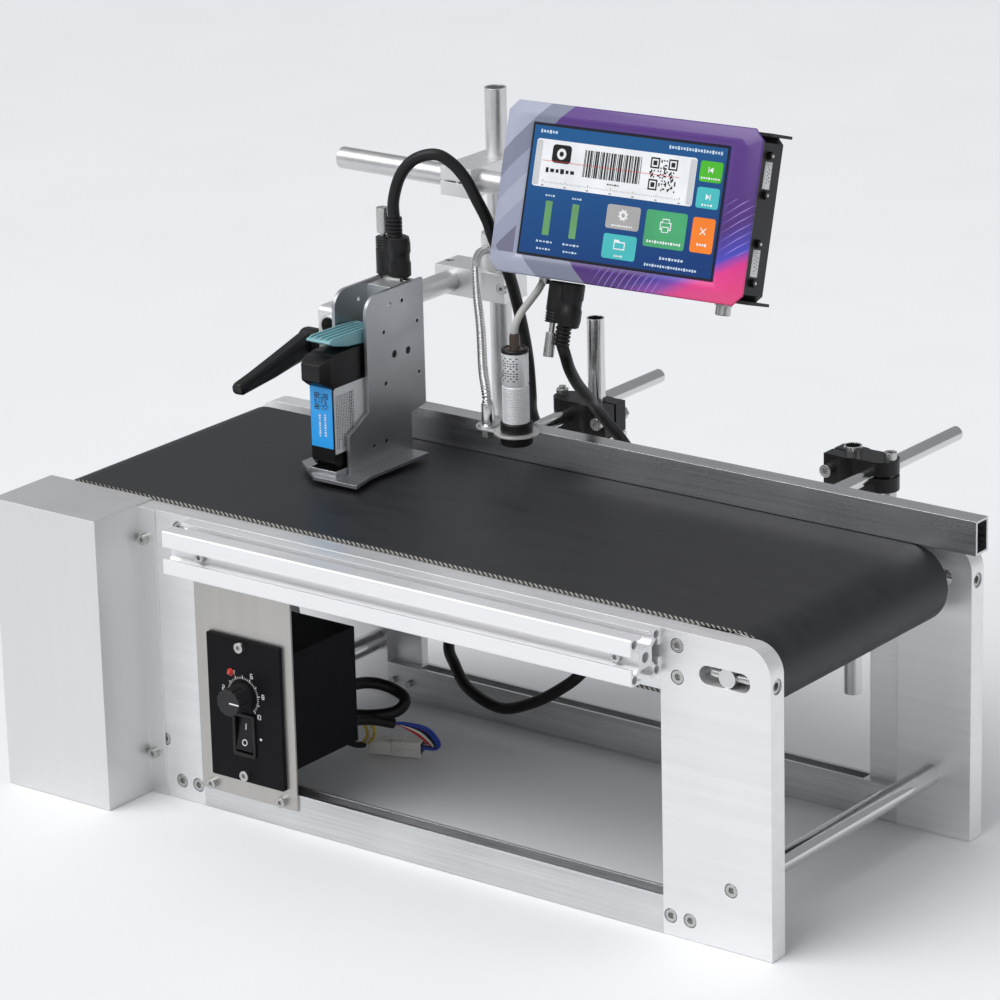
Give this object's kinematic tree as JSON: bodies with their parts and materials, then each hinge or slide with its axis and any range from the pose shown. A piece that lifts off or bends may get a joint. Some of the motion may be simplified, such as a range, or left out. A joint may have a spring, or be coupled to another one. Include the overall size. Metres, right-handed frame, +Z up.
{
  "type": "date code inkjet printer",
  "caption": "Small flat-belt conveyor with a mast carrying an inkjet print head, a product sensor and a tilting touch display, with a side guide rail and a speed controller.",
  "frame": {"origin": "middle of the conveyor's rectangular footprint, on the table", "axes": "+X along the belt towards the idler end, +Y from the operator's side to the mast side, +Z up"},
  "size_m": [0.6005, 0.4263, 0.4484],
  "materials": {
    "plate_aluminium": "brushed, bright machined edges",
    "profile_aluminium": "satin clear anodised",
    "tube_aluminium": "drawn, cloudy",
    "clamp_aluminium": "machined, satin",
    "bright_steel": "ground, bright",
    "screw_steel": "zinc plated",
    "cover_stainless": "brushed",
    "belt_rubber": "matt",
    "black_plastic": "matt",
    "cable_rubber": "matt",
    "black_paint": "powder coat",
    "head_anodised": "fine grey anodised",
    "display_film": "printed film, satin",
    "screen_glass": "lit screen",
    "latch_teal": "satin",
    "motor_grey": "cast and painted"
  },
  "bodies": {
    "frame": {"end_plates_right": "plate_aluminium", "end_plates_left": "plate_aluminium", "top_beams": "plate_aluminium", "bottom_rails": "plate_aluminium", "slot_profiles": "profile_aluminium", "slider_bed": "cover_stainless", "cross_rods": "bright_steel", "socket_screws": "screw_steel", "conveyor_belt": "belt_rubber", "drive_bearings": "bright_steel", "timing_belt": "cable_rubber", "gearmotor": "motor_grey", "drive_cover": "cover_stainless", "panel_plate": "cover_stainless", "speed_controller": "black_plastic", "frame_cables": "cable_rubber", "guide_clamps": "black_plastic", "guide_posts": "bright_steel", "post_brackets": "clamp_aluminium", "mast": "tube_aluminium", "display_clamp": "clamp_aluminium", "display_arm": "tube_aluminium"},
    "drive": {"drive_roller": "bright_steel", "drive_pulley": "clamp_aluminium"},
    "motor_out": {"motor_pulley": "bright_steel"},
    "take_up": {"idler_axle": "bright_steel"},
    "idler": {"idler_roller": "bright_steel", "idler_bearings": "bright_steel"},
    "tension_front": {"tension_screw_front": "screw_steel"},
    "tension_rear": {"tension_screw_rear": "screw_steel"},
    "knob": {"speed_knob": "black_plastic"},
    "rocker": {"rocker_switch": "black_plastic"},
    "guide": {"guide_rail": "profile_aluminium", "guide_rods": "bright_steel"},
    "display": {"display_bezel": "display_film", "display_screen": "screen_glass", "display_chassis": "black_paint", "display_fittings": "screw_steel", "display_bracket": "black_paint", "display_plug": "black_plastic"},
    "display_thumb": {"display_plug_screw": "screw_steel"},
    "arm": {"arm_clamp": "clamp_aluminium", "head_arm": "tube_aluminium", "arm_screws": "screw_steel", "sensor_collar": "clamp_aluminium", "sensor_gooseneck": "bright_steel", "sensor_bracket": "cover_stainless", "sensor": "screw_steel", "sensor_nuts": "black_plastic"},
    "head": {"head_clamp": "clamp_aluminium", "head_side_plates": "head_anodised", "head_shoe": "head_anodised", "head_spacers": "screw_steel", "contact_carrier": "black_plastic", "cartridge": "black_plastic", "head_plug": "black_plastic", "head_cable": "cable_rubber"},
    "lever": {"clamp_lever": "black_plastic"},
    "latch": {"latch": "latch_teal"},
    "head_thumb": {"head_plug_screw": "screw_steel"}
  },
  "joints": [
    {"name": "drive_roller_turn", "type": "hinge", "parent": "frame", "child": "drive", "pos_m": [-0.266, 0, 0.176], "axis": [0, 1, 0], "continuous": true},
    {"name": "motor_shaft_turn", "type": "hinge", "parent": "frame", "child": "motor_out", "pos_m": [-0.24, 0, 0.075], "axis": [0, 1, 0], "continuous": true},
    {"name": "take_up_slide", "type": "slide", "parent": "frame", "child": "take_up", "axis": [1, 0, 0], "range_m": [-0.008, 0]},
    {"name": "idler_roller_turn", "type": "hinge", "parent": "take_up", "child": "idler", "pos_m": [0.26, 0, 0.176], "axis": [0, 1, 0], "continuous": true},
    {"name": "tension_front_turn", "type": "hinge", "parent": "frame", "child": "tension_front", "pos_m": [0.2925, -0.113, 0.176], "axis": [-1, 0, 0], "range_deg": [-2880, 0]},
    {"name": "tension_rear_turn", "type": "hinge", "parent": "frame", "child": "tension_rear", "pos_m": [0.2925, 0.113, 0.176], "axis": [-1, 0, 0], "range_deg": [-2880, 0]},
    {"name": "speed_knob_turn", "type": "hinge", "parent": "frame", "child": "knob", "pos_m": [-0.1165, -0.1215, 0.087], "axis": [0, 1, 0], "range_deg": [-150, 150]},
    {"name": "rocker_tip", "type": "hinge", "parent": "frame", "child": "rocker", "pos_m": [-0.1165, -0.1195, 0.06], "axis": [1, 0, 0], "range_deg": [0, 24]},
    {"name": "guide_slide", "type": "slide", "parent": "frame", "child": "guide", "axis": [0, 1, 0], "range_m": [-0.01, 0.02]},
    {"name": "display_swing", "type": "hinge", "parent": "frame", "child": "display", "pos_m": [0.0386, 0.132, 0.376], "axis": [1, 0, 0], "range_deg": [-15, 15]},
    {"name": "display_thumb_turn", "type": "hinge", "parent": "display", "child": "display_thumb", "pos_m": [-0.01269, 0.08094, 0.30819], "axis": [-0.0244, 0.2923, 0.956], "continuous": true},
    {"name": "arm_slide", "type": "slide", "parent": "frame", "child": "arm", "axis": [0, 0, 1], "range_m": [-0.002, 0.015]},
    {"name": "head_slide", "type": "slide", "parent": "arm", "child": "head", "axis": [0, 1, 0], "range_m": [0, 0.012]},
    {"name": "lever_swing", "type": "hinge", "parent": "head", "child": "lever", "pos_m": [-0.175, 0.03, 0.279], "axis": [1, 0, 0], "range_deg": [-60, 30]},
    {"name": "latch_swing", "type": "hinge", "parent": "head", "child": "latch", "pos_m": [-0.127, 0.0275, 0.2955], "axis": [1, 0, 0], "range_deg": [-95, 0]},
    {"name": "head_thumb_turn", "type": "hinge", "parent": "head", "child": "head_thumb", "pos_m": [-0.14, 0.064, 0.344], "axis": [0, 0, 1], "continuous": true}
  ],
  "couplings": [
    {"joint": "motor_shaft_turn", "follows": "drive_roller_turn", "ratio": 1},
    {"joint": "idler_roller_turn", "follows": "drive_roller_turn", "ratio": 1},
    {"joint": "tension_front_turn", "follows": "take_up_slide", "rad_per_m": 6283.2},
    {"joint": "tension_rear_turn", "follows": "take_up_slide", "rad_per_m": 6283.2}
  ]
}
